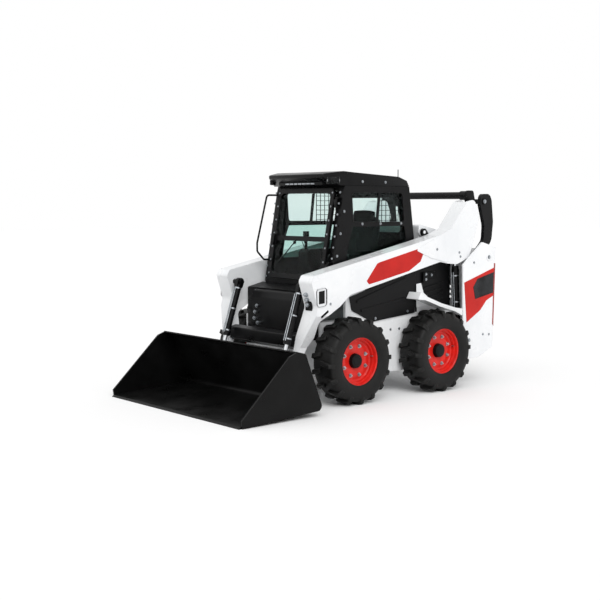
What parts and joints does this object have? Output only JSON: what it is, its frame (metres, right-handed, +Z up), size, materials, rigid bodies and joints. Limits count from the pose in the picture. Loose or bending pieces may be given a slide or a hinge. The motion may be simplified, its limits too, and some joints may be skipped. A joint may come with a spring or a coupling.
{
  "type": "skid steer loader",
  "caption": "Skid steer loader with a closed cab, vertical-path lift arms and a wide dirt bucket, for moving loose material on site.",
  "frame": {"origin": "ground point below the middle of the machine's box", "axes": "+Z up, the bucket points along -Y, the machine's left side is +X"},
  "size_m": [1.97, 3.3687, 2.0896],
  "materials": {
    "body_white": "semi-gloss white paint",
    "machine_black": "satin black paint",
    "cab_black": "satin black paint",
    "trim_black": "grained black plastic",
    "bucket_black": "satin black paint",
    "engine_grey": "cast iron",
    "bare_steel": "machined steel",
    "rod_chrome": "hard chrome",
    "tinted_glass": "green tinted glass",
    "lamp_glass": "clear lens",
    "lamp_red": "red lens",
    "seat_fabric": "woven seat fabric",
    "tyre_rubber": "black rubber",
    "rim_red": "gloss red paint"
  },
  "bodies": {
    "frame": {"main_frame": "body_white", "axle_tubes": "machine_black", "towers": "body_white", "fenders": "body_white", "side_panels": "trim_black", "front_cover": "trim_black", "engine": "engine_grey", "hood": "body_white", "tail_lamps": "lamp_red"},
    "cab": {"cab_shell": "cab_black", "cab_roof": "cab_black", "side_windows": "tinted_glass", "window_guards": "machine_black", "lower_side_panels": "cab_black", "rear_window": "tinted_glass", "cab_floor": "cab_black", "seat": "seat_fabric", "consoles": "trim_black", "work_lamps": "lamp_glass", "antenna": "machine_black", "door_hinges": "machine_black"},
    "door": {"door_frame": "cab_black", "door_glass": "tinted_glass"},
    "tailgate": {"tailgate": "body_white"},
    "rear_links": {"rear_links": "machine_black"},
    "lift_arms": {"lift_arm_left": "body_white", "lift_arm_right": "body_white", "torque_tube": "machine_black", "arm_cross_member": "body_white"},
    "control_links": {"control_links": "machine_black"},
    "lift_barrels": {"lift_barrels": "machine_black"},
    "lift_rods": {"lift_rods": "rod_chrome"},
    "tilt_barrels": {"tilt_barrels": "machine_black"},
    "tilt_rods": {"tilt_rods": "rod_chrome"},
    "bucket": {"bucket_coupler": "machine_black", "bucket": "bucket_black", "cutting_edge": "bucket_black"},
    "wheel_front_left": {"tyre_front_left": "tyre_rubber", "wheel_front_left": "rim_red"},
    "wheel_front_right": {"tyre_front_right": "tyre_rubber", "wheel_front_right": "rim_red"},
    "wheel_rear_left": {"tyre_rear_left": "tyre_rubber", "wheel_rear_left": "rim_red"},
    "wheel_rear_right": {"tyre_rear_right": "tyre_rubber", "wheel_rear_right": "rim_red"}
  },
  "joints": [
    {"name": "rear_link_swing", "type": "hinge", "parent": "frame", "child": "rear_links", "pos_m": [0, 1.32, 1.09], "axis": [-1, 0, 0], "range_deg": [0, 10]},
    {"name": "lift", "type": "hinge", "parent": "rear_links", "child": "lift_arms", "pos_m": [0, 1.545, 1.79], "axis": [-1, 0, 0], "range_deg": [0, 52]},
    {"name": "control_link_swing", "type": "hinge", "parent": "frame", "child": "control_links", "pos_m": [0, 0.886, 1.4986], "axis": [1, 0, 0], "range_deg": [0, 129.1]},
    {"name": "lift_barrel_swing", "type": "hinge", "parent": "frame", "child": "lift_barrels", "pos_m": [0, 1.265, 0.5], "axis": [1, 0, 0], "range_deg": [0, 5.45]},
    {"name": "lift_rod_slide", "type": "slide", "parent": "lift_barrels", "child": "lift_rods", "axis": [0, -0.064, 0.998], "range_m": [0, 0.5269]},
    {"name": "bucket_tilt", "type": "hinge", "parent": "lift_arms", "child": "bucket", "pos_m": [0, -0.8, 0.245], "axis": [1, 0, 0], "range_deg": [-28, 105]},
    {"name": "tilt_barrel_swing", "type": "hinge", "parent": "lift_arms", "child": "tilt_barrels", "pos_m": [0, -0.605, 1.04], "axis": [-1, 0, 0], "range_deg": [-0.84, 3.15]},
    {"name": "tilt_rod_slide", "type": "slide", "parent": "tilt_barrels", "child": "tilt_rods", "axis": [0, -0.3082, -0.9513], "range_m": [-0.0389, 0.146]},
    {"name": "cab_tilt", "type": "hinge", "parent": "frame", "child": "cab", "pos_m": [0, 0.811, 1.4], "axis": [-1, 0, 0], "range_deg": [0, 25]},
    {"name": "door_swing", "type": "hinge", "parent": "cab", "child": "door", "pos_m": [0.424, -0.303, 1.072], "axis": [0, -0.1795, -0.9838], "range_deg": [-90, 0]},
    {"name": "tailgate_swing", "type": "hinge", "parent": "frame", "child": "tailgate", "pos_m": [-0.53, 1.671, 0.855], "axis": [0, 0, 1], "range_deg": [0, 95]},
    {"name": "spin_front_left", "type": "hinge", "parent": "frame", "child": "wheel_front_left", "pos_m": [0.6975, -0.225, 0.385], "axis": [1, 0, 0], "continuous": true},
    {"name": "spin_front_right", "type": "hinge", "parent": "frame", "child": "wheel_front_right", "pos_m": [-0.6975, -0.225, 0.385], "axis": [1, 0, 0], "continuous": true},
    {"name": "spin_rear_left", "type": "hinge", "parent": "frame", "child": "wheel_rear_left", "pos_m": [0.6975, 0.85, 0.385], "axis": [1, 0, 0], "continuous": true},
    {"name": "spin_rear_right", "type": "hinge", "parent": "frame", "child": "wheel_rear_right", "pos_m": [-0.6975, 0.85, 0.385], "axis": [1, 0, 0], "continuous": true}
  ],
  "couplings": [
    {"joint": "rear_link_swing", "follows": "lift", "ratio": 0.19231},
    {"joint": "control_link_swing", "follows": "lift", "ratio": 2.4827},
    {"joint": "lift_barrel_swing", "follows": "lift", "ratio": 0.10481},
    {"joint": "lift_rod_slide", "follows": "lift", "m_per_rad": 0.58056},
    {"joint": "tilt_barrel_swing", "follows": "bucket_tilt", "ratio": 0.03},
    {"joint": "tilt_rod_slide", "follows": "bucket_tilt", "m_per_rad": 0.079668}
  ]
}
